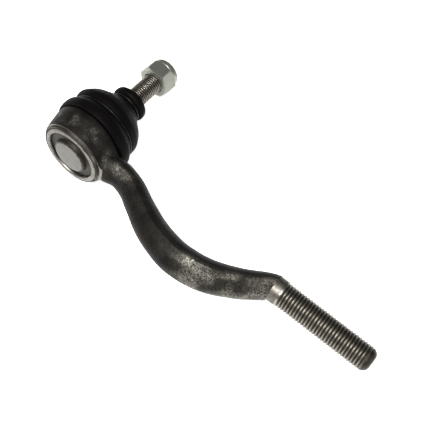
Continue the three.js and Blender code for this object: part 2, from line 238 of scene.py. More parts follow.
def forged_scale(scale_hex=0x0B0A09, bare_hex=0x8E8A80):
    """Hot-forged carbon steel, tumbled: grey-brown scale, worn to bare metal on the high spots; the
    neck's side that faces the key light is also lightened, a painted highlight.
    """
    material, tree, shader, place = start_material("forged_carbon_steel_scale", 0.75, 0.5)
    # The stored mask is rubbed bare metal, and on the neck's side that faces the key light it is
    # also a painted highlight.
    worn_and_lit = add_node(tree, "ShaderNodeAttribute", attribute_name="wear_and_highlight").outputs["Fac"]
    clouds = grain(tree, place, 7.0, 5.0, 0.4)
    patches = grain(tree, place, 0.8, 4.0, 0.3)
    pits = grain(tree, place, 0.4, 3.0)
    base = mixed(tree, ramp(tree, clouds, 0.35, 0.7), linear(scale_hex), linear(0x171512))
    speckle = ramp(tree, patches, 0.35, 0.8)
    rubbed = ramp(tree, grain(tree, place, 12.0, 3.0, 0.3), 0.42, 0.62, 0.15, 1.0)
    share = maths(tree, "MULTIPLY", maths(tree, "MULTIPLY", speckle, rubbed), worn_and_lit)
    colour = mixed(tree, share, base, linear(bare_hex))
    brown = ramp(tree, grain(tree, place, 4.0, 3.0), 0.5, 0.75, 0.0, 0.4)
    tree.links.new(mixed(tree, brown, colour, linear(0x241E17)), shader.inputs["Base Color"])
    tree.links.new(ramp(tree, share, 0.0, 0.8, 0.62, 0.42), shader.inputs["Roughness"])
    shader.inputs["Specular IOR Level"].default_value = 0.25
    coarse = bump(tree, patches, 0.1, 0.5)
    tree.links.new(bump(tree, pits, 0.04, 0.5, coarse), shader.inputs["Normal"])
    return material


def turned_steel(axis, hex_code=0x74716B, roughness=0.36):
    """Lathe-turned bare steel: satin, with fine tool rings about its axis and oily staining."""
    material, tree, shader, place = start_material("turned_steel_" + axis.lower(), 1.0, roughness)
    radius = radius_about(tree, place, axis)
    tool_mark = 0.35 * MM
    links = {"W": radius, "Scale": 1 / tool_mark, "Detail": 2.0}
    rings = add_node(tree, "ShaderNodeTexNoise", links, noise_dimensions="1D").outputs["Fac"]
    stain = ramp(tree, grain(tree, place, 3.0, 4.0, 0.8), 0.4, 0.7, 0.0, 0.8)
    colour = mixed(tree, stain, linear(hex_code), linear(0x4B463F))
    tree.links.new(colour, shader.inputs["Base Color"])
    rough = ramp(tree, rings, 0.3, 0.7, roughness - 0.05, roughness + 0.12)
    tree.links.new(rough, shader.inputs["Roughness"])
    tree.links.new(bump(tree, rings, 0.02, 0.5), shader.inputs["Normal"])
    return material


def threaded_steel(name, axis, crest_r, root_r, crest_hex=0x8A867E, root_hex=0x635F57):
    """Rolled thread on bare steel: burnished crests over dull roots, the roots painted darker as
    shade in the thread's hollows.
    """
    material, tree, shader, place = start_material(name, 1.0, 0.32)
    radius = radius_about(tree, place, axis)
    height = ramp(tree, radius, root_r * MM, crest_r * MM)
    darkening = ramp(tree, grain(tree, place, 2.5, 3.0, 0.5), 0.4, 0.75, 0.0, 0.25)
    unshaded_and_clean = maths(tree, "SUBTRACT", height, darkening)
    # Darker towards the root: painted shade in the hollows of the thread, broken up by random dirt.
    flank = mixed(tree, ramp(tree, unshaded_and_clean, 0.0, 0.45), linear(0x35322B), linear(root_hex))
    colour = mixed(tree, ramp(tree, unshaded_and_clean, 0.55, 0.95), flank, linear(crest_hex))
    tree.links.new(colour, shader.inputs["Base Color"])
    tree.links.new(ramp(tree, height, 0.2, 0.9, 0.5, 0.33), shader.inputs["Roughness"])
    return material


def zinc_plate(name, hex_code, tint_hex, tint_share, roughness, dark_from_r=None):
    """Zinc-plated pressed or cold-headed steel: satin grey with a faint passivation tint.

    Outward of the given radius, in mm from the stud axis, it turns dark brown.
    """
    material, tree, shader, place = start_material(name, 0.85, roughness)
    clouds = grain(tree, place, 4.5, 4.0, 0.7)
    fine = grain(tree, place, 0.5, 3.0)
    tint = ramp(tree, clouds, 0.48, 0.72, 0.0, tint_share)
    colour = mixed(tree, tint, linear(hex_code), linear(tint_hex))
    # Dark brown outward of the given radius, over the button's edge and the recess around it.
    if dark_from_r is not None:
        ragged = maths(tree, "MULTIPLY", grain(tree, place, 3.0, 4.0), 1.6 * MM)
        reach = maths(tree, "ADD", radius_about(tree, place, "Y"), ragged)
        darkening = ramp(tree, reach, (dark_from_r + 0.5) * MM, (dark_from_r + 1.4) * MM, 0.0, 0.92)
        colour = mixed(tree, darkening, colour, linear(0x1E1A15))
    tree.links.new(colour, shader.inputs["Base Color"])
    rough = ramp(tree, fine, 0.3, 0.7, roughness - 0.05, roughness + 0.1)
    tree.links.new(rough, shader.inputs["Roughness"])
    tree.links.new(bump(tree, fine, 0.02, 0.5), shader.inputs["Normal"])
    return material


def boot_rubber():
    """Moulded chloroprene rubber: black, dull, with a fine mould grain and a little dust."""
    material, tree, shader, place = start_material("moulded_chloroprene_rubber", 0.0, 0.6)
    shader.inputs["Specular IOR Level"].default_value = 0.03
    dust = ramp(tree, grain(tree, place, 6.0, 5.0, 0.5), 0.5, 0.78, 0.0, 0.5)
    colour = mixed(tree, dust, linear(0x070606), linear(0x0F0E0D))
    tree.links.new(colour, shader.inputs["Base Color"])
    fine = grain(tree, place, 0.4, 3.0)
    tree.links.new(ramp(tree, dust, 0.0, 0.5, 0.52, 0.66), shader.inputs["Roughness"])
    tree.links.new(bump(tree, fine, 0.02, 0.4), shader.inputs["Normal"])
    return material


def plastic(name, hex_code, deep_hex, roughness):
    """Moulded engineering plastic: off-white, slightly waxy, with faint flow marks."""
    material, tree, shader, place = start_material(name, 0.0, roughness)
    shader.inputs["IOR"].default_value = 1.48
    shader.inputs["Subsurface Weight"].default_value = 0.1
    shader.inputs["Subsurface Radius"].default_value = (0.002, 0.002, 0.0015)
    shader.inputs["Subsurface Scale"].default_value = 1.0
    flow = grain(tree, place, 3.0, 3.0, 1.0)
    tree.links.new(mixed(tree, ramp(tree, flow, 0.3, 0.7), linear(hex_code), linear(deep_hex)),
                   shader.inputs["Base Color"])
    tree.links.new(bump(tree, grain(tree, place, 0.6), 0.02, 0.4), shader.inputs["Normal"])
    return material


def spring_steel():
    """Hardened spring wire and strip: blue-black temper oxide with a satin sheen."""
    material, tree, shader, place = start_material("tempered_spring_steel", 0.9, 0.48)
    clouds = ramp(tree, grain(tree, place, 2.5, 4.0, 0.6), 0.35, 0.7)
    colour = mixed(tree, clouds, linear(0x131313), linear(0x22201E))
    tree.links.new(colour, shader.inputs["Base Color"])
    tree.links.new(bump(tree, grain(tree, place, 0.3), 0.02, 0.5), shader.inputs["Normal"])
    return material


# ---- Modelling tools ---------------------------------------------------------------------------


def deselect_all():
    for thing in list(bpy.context.selected_objects):
        thing.select_set(False)


def make_active(piece):
    deselect_all()
    piece.select_set(True)
    bpy.context.view_layer.objects.active = piece


def trace(name, points, origin=BALL):
    """Draws edges through points about an origin, and stays in edit mode, all selected."""
    deselect_all()
    bpy.ops.mesh.primitive_plane_add(size=MM, location=origin)
    piece = bpy.context.active_object
    piece.name = piece.data.name = name
    bpy.ops.object.mode_set(mode="EDIT")
    bpy.ops.mesh.select_all(action="SELECT")
    bpy.ops.mesh.merge(type="CENTER")
    bpy.ops.transform.translate(value=points[0])
    for here, there in zip(points, points[1:]):
        bpy.ops.mesh.extrude_region_move(TRANSFORM_OT_translate={"value": there - here})
    bpy.ops.mesh.select_all(action="SELECT")
    return piece


def close_up(piece):
    """Merges doubled vertices, turns the faces outwards, and applies the piece's place."""
    bpy.ops.mesh.select_all(action="SELECT")
    bpy.ops.mesh.remove_doubles(threshold=1e-3 * MM)
    bpy.ops.mesh.normals_make_consistent(inside=False)
    bpy.ops.object.mode_set(mode="OBJECT")
    bpy.ops.object.transform_apply(location=True, rotation=True, scale=True)
    return piece


def turn(name, outline, steps=120, axis="Y"):
    """Spins an outline of (radius, distance along the axis) about the stud or shank axis."""
    if axis == "Y":
        points = [Vector((r, h, 0)) * MM for r, h in outline]
    else:
        points = [Vector((h, r, 0)) * MM for r, h in outline]
    if outline[0][0] > 0 and outline[-1][0] > 0:
        points.append(points[0])
    piece = trace(name, points)
    direction = (0, 1, 0) if axis == "Y" else (1, 0, 0)
    bpy.ops.mesh.spin(steps=steps, angle=2 * math.pi, center=BALL, axis=direction)
    return close_up(piece)


def rounded(corners, steps=4):
    """An outline whose corners (r, h, radius) are filleted, and whose (r, h) corners stay sharp."""
    outline = []
    for i, corner in enumerate(corners):
        here = Vector(corner[:2])
        if len(corner) < 3 or i in (0, len(corners) - 1):
            outline.append(tuple(here))
            continue
        back = Vector(corners[i - 1][:2]) - here
        ahead = Vector(corners[i + 1][:2]) - here
        half = back.angle(ahead) / 2
        reach = min(corner[2] / math.tan(half), 0.48 * back.length, 0.48 * ahead.length)
        radius = reach * math.tan(half)
        middle = (back.normalized() + ahead.normalized()).normalized()
        centre = here + middle * (radius / math.sin(half))
        first = here + back.normalized() * reach - centre
        last = here + ahead.normalized() * reach - centre
        sweep = first.angle_signed(last)
        for k in range(steps + 1):
            spot = first.copy()
            spot.rotate(Matrix.Rotation(-sweep * k / steps, 2))
            outline.append(tuple(centre + spot))
    return outline


def arc(centre_r, centre_h, radius, from_deg, to_deg, steps):
    """Points on an arc in the outline plane, both ends included."""
    sweep = [math.radians(from_deg + (to_deg - from_deg) * k / steps) for k in range(steps + 1)]
    return [(centre_r + radius * math.cos(a), centre_h + radius * math.sin(a)) for a in sweep]


def combine(piece, tool, operation):
    """Cuts a tool out of a piece, joins it on, or keeps what both hold. The tool is used up."""
    make_active(piece)
    bpy.ops.object.modifier_add(type="BOOLEAN")
    cut = piece.modifiers[-1]
    cut.operation = operation
    cut.solver = "EXACT"
    cut.material_mode = "TRANSFER"
    cut.object = tool
    bpy.ops.object.modifier_apply(modifier=cut.name)
    bpy.data.objects.remove(tool)
    return piece


def finish_piece(piece, body, replaced, sharp_deg=32):
    """Clears slivers, shades with crisp edges, gives the piece its body and hides the parts it
    replaces.
    """
    sliver = 3e-3 * MM
    make_active(piece)
    bpy.ops.object.mode_set(mode="EDIT")
    bpy.ops.mesh.select_all(action="SELECT")
    bpy.ops.mesh.remove_doubles(threshold=sliver)
    bpy.ops.mesh.dissolve_degenerate(threshold=sliver)
    bpy.ops.mesh.delete_loose()
    bpy.ops.object.mode_set(mode="OBJECT")
    bpy.ops.object.shade_smooth_by_angle(angle=math.radians(sharp_deg))
    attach(piece, body)
    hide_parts(*replaced)
    return piece


def dress(piece, *materials):
    """Gives a piece its materials, the first on every face."""
    piece.data.materials.clear()
    for material in materials:
        piece.data.materials.append(material)
    return piece


THREAD_DEPTH = 0.42  # share of the pitch, shallower than the 0.61 of a standard thread

# One pitch of each thread, root to root, as (share of the pitch, share of the depth).
CUT_TOOTH = [(0, 0), (0.11, 0.01), (0.17, 0.14), (0.3, 0.56), (0.42, 0.95), (0.46, 1), (0.54, 1),
             (0.58, 0.95), (0.7, 0.56), (0.83, 0.14), (0.89, 0.01), (1, 0)]
ROLLED_TOOTH = [(0, 0), (0.07, 0.02), (0.14, 0.14), (0.27, 0.52), (0.38, 0.84), (0.44, 0.97),
                (0.5, 1), (0.56, 0.97), (0.62, 0.84), (0.73, 0.52), (0.86, 0.14), (0.93, 0.02),
                (1, 0)]


def thread(name, axis, tooth, pitch, crest_r, start, end, profile=None):
    """A right-hand threaded rod from start to end, in mm along the axis from the ball centre.

    profile(distance, radius) is the finished radius of a point that the plain thread has there.
    """
    depth = THREAD_DEPTH * pitch
    teeth = [(crest_r - depth * (1 - up), pitch * along) for along, up in tooth]
    place = (lambda r, h: Vector((r, h, 0))) if axis == "Y" else (lambda r, h: Vector((h, r, 0)))
    first = math.floor(start / pitch - 1) * pitch
    piece = trace(name, [place(r, first + h) * MM for r, h in teeth])
    bpy.ops.object.mode_set(mode="OBJECT")
    bpy.ops.object.modifier_add(type="SCREW")
    screw = piece.modifiers[-1]
    screw.axis = axis
    screw.angle = 2 * math.pi
    screw.screw_offset = pitch * MM
    screw.steps = screw.render_steps = THREAD_STEPS
    screw.iterations = math.ceil((end - first) / pitch) + 1
    screw.use_smooth_shade = False
    bpy.ops.object.modifier_apply(modifier=screw.name)
    bpy.ops.object.mode_set(mode="EDIT")
    bpy.ops.mesh.select_all(action="SELECT")
    bpy.ops.mesh.remove_doubles(threshold=1e-3 * MM)
    along = Vector((0, 1, 0)) if axis == "Y" else Vector((1, 0, 0))
    for where, clear_out in ((start, False), (end, True)):
        bpy.ops.mesh.select_all(action="SELECT")
        bpy.ops.mesh.bisect(plane_co=BALL + along * where * MM, plane_no=along, use_fill=True,
                            clear_inner=not clear_out, clear_outer=clear_out)
    close_up(piece)
    if profile is None:
        return piece
    for vertex in piece.data.vertices:
        arm = vertex.co - BALL
        height = arm.dot(along)
        out = arm - along * height
        if out.length < ON_AXIS_MM * MM:
            continue
        radius = profile(height / MM, out.length / MM)
        vertex.co = BALL + along * height + out.normalized() * radius * MM
    return piece


def smooth_step(low, high, value):
    """0 below low, 1 above high, and an S curve between."""
    t = min(1.0, max(0.0, (value - low) / (high - low)))
    return t * t * (3 - 2 * t)


# ---- Forging -----------------------------------------------------------------------------------


def spline(points, t):
    """A point on a uniform cubic spline through points, t from 0 to 1."""
    span = t * (len(points) - 1)
    i = min(int(span), len(points) - 2)
    f = span - i
    a = points[i - 1] if i > 0 else points[0] * 2 - points[1]
    b, c = points[i], points[i + 1]
    d = points[i + 2] if i + 2 < len(points) else points[-1] * 2 - points[-2]
    return 0.5 * ((2 * b) + (c - a) * f + (2 * a - 5 * b + 4 * c - d) * f * f
                  + (3 * b - a - 3 * c + d) * f ** 3)


NECK_CENTRES = [Vector((x, y, 0)) for x, y, deep, across in NECK]
NECK_SIZES = [Vector((deep / 2, across / 2, 0)) for x, y, deep, across in NECK]


def neck_frame(t):
    """Centre, heading and half sizes of the neck at t."""
    ahead = spline(NECK_CENTRES, min(1.0, t + 0.002)) - spline(NECK_CENTRES, max(0.0, t - 0.002))
    return spline(NECK_CENTRES, t), ahead.normalized(), spline(NECK_SIZES, t)


def neck_section(angle, ridge):
    """Radius, as a share of the half size, at an angle from the +Z side of the neck.

    The dies part along both Z sides, so the section comes to a crest there, with the trimmed
    flash standing on it.
    """
    off = min(abs(math.remainder(angle, math.pi)), math.pi / 2)
    crest = 0.08 * max(0.0, 1 - off / 0.75)
    flash = ridge * max(0.0, 1 - off / 0.17)
    return 1 + crest + flash - 0.035


def swan_neck(ridge_mm):
    """A circle extruded along X, then laid along the neck's centreline."""
    deselect_all()
    rings, sides = 230, 112
    bpy.ops.mesh.primitive_circle_add(vertices=sides, radius=1, fill_type="NGON",
                                      rotation=(0, math.pi / 2, 0))
    piece = bpy.context.active_object
    bpy.ops.object.transform_apply(location=True, rotation=True, scale=True)
    bpy.ops.object.mode_set(mode="EDIT")
    bpy.ops.mesh.select_all(action="SELECT")
    for _ in range(rings):
        bpy.ops.mesh.extrude_region_move(TRANSFORM_OT_translate={"value": (1, 0, 0)})
    bpy.ops.object.mode_set(mode="OBJECT")
    for vertex in piece.data.vertices:
        centre, heading, size = neck_frame(vertex.co.x / rings)
        angle = math.atan2(vertex.co.y, vertex.co.z)
        share = neck_section(angle, ridge_mm / size.y)
        deep = math.sin(angle) * size.x * share
        across = math.cos(angle) * size.y * share
        side = Vector((-heading.y, heading.x, 0))
        spot = centre + side * deep + Vector((0, 0, across))
        vertex.co = BALL + spot * MM
    bpy.ops.object.mode_set(mode="EDIT")
    return close_up(piece)


def head_blank():
    """The round head as forged, before the rim and bore are turned."""
    return turn("head_blank", rounded([
        (0, RIM_Y + 0.6),
        (LEDGE_R - 0.7, RIM_Y + 0.6),
        (LEDGE_R + 0.6, RIM_Y + 5.2, 3.0),
        (HEAD_TOP_R - 0.1, HEAD_TOP_Y - 4.0, 4.0),
        (HEAD_TOP_R, HEAD_TOP_Y, 1.2),
        (BOOT_FLANGE_R, HEAD_TOP_Y + 1.4),
        (BOOT_FLANGE_R, HEAD_END_Y - 1.6),
        (BOOT_FLANGE_R - 1.6, HEAD_END_Y),
        (0, HEAD_END_Y),
    ]), 128)


def rim_cutter():
    """What the lathe takes off outside the rim: it leaves the lip wall, a groove and a ledge."""
    return turn("rim_cutter", rounded([
        (LIP_OUTER_R - 0.1, RIM_Y - 3),
        (LIP_OUTER_R - 0.1, RIM_Y + 2.4),
        (LIP_OUTER_R + 0.1, RIM_Y + 3.1, 0.15),
        (LIP_OUTER_R + 0.6, RIM_Y + 3.1, 0.15),
        (LIP_OUTER_R + 0.7, RIM_Y + 2.3, 0.2),
        (LEDGE_R - 0.2, RIM_Y + 2.4, 0.4),
        (LEDGE_R + 1.9, RIM_Y + 2.8, 0.5),
        (LEDGE_R + 1.9, RIM_Y - 3),
    ]), 128)


def rolled_lip():
    """The thin wall of the bore, spun over the closing plate into a round roll."""
    roll = 2.8
    return turn("rolled_lip", [
        (PLATE_R + 0.2, RIM_Y + 3.8),
        (LIP_OUTER_R, RIM_Y + 3.8),
        *arc(LIP_OUTER_R - roll, RIM_Y + roll, roll, 0, -90, 8),
        *rounded([
            (LIP_OUTER_R - roll - 0.1, RIM_Y),
            (LIP_OPENING_R + 0.45, RIM_Y + 0.25, 0.8),
            (LIP_OPENING_R, RIM_Y + 1.35, 0.4),
            (LIP_OPENING_R + 0.3, RIM_Y + 1.6, 0.15),
            (PLATE_R + 0.2, RIM_Y + 1.6),
        ]),
    ], 128)


def bore_cutter():
    """Bore for the bearings, seat for the closing plate, and the mouth that the stud tilts in."""
    tilt = math.radians(TILT_JOINT["range_deg"][1])
    lean = math.tan(tilt)
    clearance = 0.45
    neck_r = STUD_NECK_R / math.cos(tilt) + clearance
    plate_seat = -9.0
    return turn("bore_cutter", [
        (0, RIM_Y - 2),
        (PLATE_R + 0.2, RIM_Y - 2),
        (PLATE_R + 0.2, plate_seat),
        (BORE_R, plate_seat),
        (BORE_R, SHOULDER_Y),
        (SHOULDER_Y * lean + neck_r, SHOULDER_Y),
        (HEAD_END_Y * lean + neck_r, HEAD_END_Y + 0.2),
        (0, HEAD_END_Y + 0.2),
    ], 96)


def boot_seat_cutter():
    """The turned groove that the boot bead snaps into, and the relief over the neck's root."""
    return turn("boot_seat_cutter", [
        (HEAD_TOP_R + 2.6, HEAD_TOP_Y),
        (HEAD_TOP_R + 2.6, HEAD_END_Y + 3),
        (BOOT_FLANGE_R, HEAD_END_Y + 3),
        (BOOT_FLANGE_R, HEAD_TOP_Y + 5.4),
        (BOOT_GROOVE_R, HEAD_TOP_Y + 4.6),
        (BOOT_GROOVE_R, HEAD_TOP_Y + 0.8),
        (HEAD_TOP_R - 0.5, HEAD_TOP_Y),
    ], 96)


def shank_cutter():
    """What the lathe takes off the end of the neck, down to inside the plain band."""
    inner, outer, length = 7.0, 16, 16
    return turn("shank_cutter", [
        (inner, BAND_START_X),
        (outer, BAND_START_X),
        (outer, BAND_START_X + length),
        (inner, BAND_START_X + length),
    ], 96, "X")


def threaded_shank(settings):
    """Plain band, thread with its run-out, and the long rounded point."""
    crest = settings.shank_diameter / MM / 2
    point = 7.0  # length of the point
    end_r = 3.9
    inside = 1.5  # how far the rod starts inside the neck

    def profile(x, radius):
        cut = smooth_step(THREAD_START_X - 0.2, THREAD_START_X + 1.8, x)
        radius = crest - (crest - radius) * cut
        over = max(0.0, x - (SHANK_END_X - point)) / point
        limit = end_r + (crest - end_r) * math.sqrt(max(0.0, 1 - over ** 1.9))
        return min(radius, max(end_r, limit))

    return thread("shank", "X", ROLLED_TOOTH, settings.shank_pitch / MM, crest,
                  BAND_START_X - inside, SHANK_END_X, profile)


def remesh_and_blend(piece, voxel_mm):
    """One even skin over the forging, with the neck blended into the head."""
    root_r = 25.5  # where the neck leaves the head
    make_active(piece)
    bpy.ops.object.modifier_add(type="REMESH")
    remesh = piece.modifiers[-1]
    remesh.mode = "VOXEL"
    remesh.voxel_size = voxel_mm * MM
    bpy.ops.object.modifier_apply(modifier=remesh.name)
    everywhere = piece.vertex_groups.new(name="everywhere")
    root = piece.vertex_groups.new(name="neck_root")
    for vertex in piece.data.vertices:
        spot = (vertex.co - BALL) / MM
        reach = abs(math.hypot(spot.x, spot.z) - root_r)
        near = 1 - smooth_step(2.5, 8.0, reach)
        facing = smooth_step(6.0, 14.0, spot.x)
        root.add([vertex.index], near * facing, "REPLACE")
        everywhere.add([vertex.index], 1.0, "REPLACE")
    for group, repeats in (("everywhere", 3), ("neck_root", 60)):
        bpy.ops.object.modifier_add(type="SMOOTH")
        smooth = piece.modifiers[-1]
        smooth.factor = 0.5
        smooth.iterations = repeats
        smooth.vertex_group = group
        bpy.ops.object.modifier_apply(modifier=smooth.name)
    piece.vertex_groups.clear()


def hammer(piece):
    """The shallow waviness of a die-forged skin."""
    for vertex, normal in zip(piece.data.vertices, [v.normal.copy() for v in piece.data.vertices]):
        broad = noise.noise(vertex.co / (11 * MM)) * 0.16
        fine = noise.noise(vertex.co / (3.6 * MM)) * 0.05
        vertex.co = vertex.co + normal * (broad + fine) * MM


def mark_wear_and_highlight(piece):
    """Stores where the skin is lighter: rubbed on the belly of the neck, its root and the head's
    flank. On the neck it is kept below the centreline, the side that faces the key light, so there
    it is partly a painted highlight.
    """
    steps = 160
    centreline = [neck_frame(k / steps)[0] for k in range(steps + 1)]
    root_patch = Vector((33, 0, 8))
    lightest = 0.1  # wear that the whole skin has
    wear_and_highlight = piece.data.attributes.new("wear_and_highlight", "FLOAT", "POINT")
    values = []
    for vertex in piece.data.vertices:
        spot = (vertex.co - BALL) / MM
        if spot.x > 24:
            near = min(centreline, key=lambda c: abs(c.x - spot.x) + 0.35 * abs(c.y - spot.y))
            # Below the centreline the neck faces the key light: keeping the lightening to this side
            # is a painted highlight on top of the rubbing.
            below = 1 - smooth_step(0.0, 3.0, spot.y - near.y)
            belly = smooth_step(84, 104, spot.x)
            root = 1 - smooth_step(5, 11, (spot - root_patch).length)
            values.append(lightest + 0.9 * below * max(belly, 0.8 * root))
        else:
            flank = 1 - smooth_step(1.5, 6.0, abs(spot.y + 4.5))
            patch = smooth_step(0.4, 0.8, noise.noise(spot / 6) + 0.5)
            values.append(lightest + 0.5 * flank * patch)
    wear_and_highlight.data.foreach_set("value", values)


class ForgingSettings(bpy.types.PropertyGroup):
    """Sizes of the forging that can be changed by themselves."""

    shank_diameter: FloatProperty(
        name="Shank thread", description="Major diameter of the male thread", default=16 * MM,
        unit="LENGTH")
    shank_pitch: FloatProperty(
        name="Shank pitch", description="Advance of the male thread in one turn", default=2 * MM,
        unit="LENGTH")
    flash_height: FloatProperty(
        name="Trimmed flash", description="How far the trimmed flash stands on the neck",
        default=0.5 * MM, unit="LENGTH")
    skin_voxel: FloatProperty(
        name="Skin detail", description="Grid size of the forging's even skin", default=0.55 * MM,
        unit="LENGTH")


class StudSettings(bpy.types.PropertyGroup):
    """Sizes of the ball stud's thread."""

    stud_diameter: FloatProperty(
        name="Stud thread", description="Major diameter of the stud thread", default=13 * MM,
        unit="LENGTH")
    stud_pitch: FloatProperty(
        name="Stud pitch", description="Advance of the stud thread in one turn",
        default=1.5 * MM, unit="LENGTH")


class NutSettings(bpy.types.PropertyGroup):
    """Sizes of the self-locking nut."""

    across_flats: FloatProperty(
        name="Across flats", description="Spanner size of the nut", default=20.2 * MM,
        unit="LENGTH")
    hex_height: FloatProperty(
        name="Hexagon height", description="Height of the hexagon under the collar",
        default=10 * MM, unit="LENGTH")


class StageSettings(bpy.types.PropertyGroup):
    """Floor and light."""

    floor_colour: FloatVectorProperty(
        name="Floor", description="Colour of the floor", size=4, subtype="COLOR",
        default=linear(0xE4E4E3), min=0, max=1)
    key_power: FloatProperty(
        name="Key light", description="Power of the large softbox", default=13.0, unit="POWER")


class TIEROD_OT_forging(bpy.types.Operator):
    """Model the head, swan neck and threaded shank as one forging"""

    bl_idname = "tierod.forging"
    bl_label = "Socket forging"

    def execute(self, context):
        settings = context.scene.tierod_forging
        crest = settings.shank_diameter / MM / 2
        skin = forged_scale()
        rim = turned_steel("Y")
        band = turned_steel("X", 0x6B6862, 0.48)
        root = crest - THREAD_DEPTH * settings.shank_pitch / MM
        threads = threaded_steel("rolled_shank_thread", "X", crest, root)
        piece = dress(head_blank(), skin)
        combine(piece, dress(swan_neck(settings.flash_height / MM), skin), "UNION")
        remesh_and_blend(piece, settings.skin_voxel / MM)
        hammer(piece)
        dress(piece, skin)
        combine(piece, dress(rim_cutter(), rim), "DIFFERENCE")
        combine(piece, dress(boot_seat_cutter(), rim), "DIFFERENCE")
        combine(piece, dress(shank_cutter(), band), "DIFFERENCE")
        combine(piece, dress(threaded_shank(settings), threads), "UNION")
        combine(piece, dress(bore_cutter(), rim), "DIFFERENCE")
        combine(piece, dress(rolled_lip(), rim), "UNION")
        slots = {m.name: i for i, m in enumerate(piece.data.materials)}
        for face in piece.data.polygons:
            spot = (face.center - BALL) / MM
            if face.material_index == slots[threads.name] and spot.x < THREAD_START_X - 0.1:
                face.material_index = slots[band.name]
        mark_wear_and_highlight(piece)
        piece.name = piece.data.name = "forging"
        finish_piece(piece, "socket", ["socket_forging"], 38)
        return {"FINISHED"}


class TIEROD_OT_inner_rings(bpy.types.Operator):
    """Finish the bearing rings and the disc spring inside the head"""

    bl_idname = "tierod.inner_rings"
    bl_label = "Bearings and disc spring"

    def execute(self, context):
        acetal = plastic("moulded_acetal", 0xE8E4D8, 0xDAD4C4, 0.4)
        for name in ("upper_bearing", "lower_bearing"):
            dress(frame["nodes"][name], acetal)
        dress(frame["nodes"]["disc_spring"], spring_steel())
        return {"FINISHED"}


class TIEROD_OT_closing_plate(bpy.types.Operator):
    """Model the pressed closing plate with its raised button"""

    bl_idname = "tierod.closing_plate"
    bl_label = "Closing plate"

    def execute(self, context):
        face = above_ball(PLATE_LOW.y)
        flange = RIM_Y + 1.8
        high = above_ball(PLATE_HIGH.y)
        button = 11.4
        piece = turn("plate", rounded([
            (0, face),
            (button - 1.1, face + 0.02, 0.5),
            (button, face + 0.9, 0.5),
            (button + 0.45, flange - 0.1, 0.4),
            (button + 2.2, flange, 1.2),
            (PLATE_R, flange, 0.3),
            (PLATE_R, high, 0.3),
            (button - 0.9, high, 0.8),
            (button - 1.9, face + 1.9, 0.8),
            (0, face + 1.9),
        ]), 128)
        # The plate turns dark brown outward of the button's flat top.
        dress(piece, zinc_plate("zinc_plated_pressing", 0x666561, 0x56534C, 0.6, 0.5, button - 1.1))
        finish_piece(piece, "socket", ["closing_plate"], 40)
        return {"FINISHED"}


class TIEROD_OT_ball_stud(bpy.types.Operator):
    """Model the ball, taper and rolled thread of the stud"""

    bl_idname = "tierod.ball_stud"
    bl_label = "Ball stud"

    def execute(self, context):
        settings = context.scene.tierod_stud
        crest = settings.stud_diameter / MM / 2 - 0.08
        pitch = settings.stud_pitch / MM
        flat = above_ball(STUD_LOW.y)
        low = math.degrees(math.asin(flat / BALL_R))
        high = math.degrees(math.acos(STUD_NECK_R / BALL_R))
        taper_end = 43.0
        shaft = turn("stud", [
            (0, flat),
            *arc(0, 0, BALL_R, low, high, 28),
            *rounded([
                (STUD_NECK_R, BALL_R * math.sin(math.radians(high)) + 0.6),
                (STUD_NECK_R, 20.0, 3.0),
                (8.2, 23.0, 1.5),
                (6.9, taper_end, 0.3),
                (STUD_ROOT_R, taper_end + 1, 0.4),
                (STUD_ROOT_R, taper_end + 3),
                (0, taper_end + 3),
            ]),
        ], 96)
        steel = turned_steel("Y")
        threads = threaded_steel("rolled_stud_thread", "Y", crest, crest - THREAD_DEPTH * pitch)
        dress(shaft, steel)

        def profile(y, radius):
            start_r = STUD_ROOT_R - 0.05
            limit = start_r + (crest - start_r) * smooth_step(44.4, 46.2, y)
            chamfer = crest - max(0.0, y - (STUD_END_Y - 1.1))
            return min(radius, limit, chamfer)

        rod = thread("rod", "Y", CUT_TOOTH, pitch, crest, ROD_START_Y, STUD_END_Y, profile)
        combine(shaft, dress(rod, threads), "UNION")
        shaft.name = shaft.data.name = "stud_and_ball"
        finish_piece(shaft, "stud", ["ball_stud"], 38)
        return {"FINISHED"}


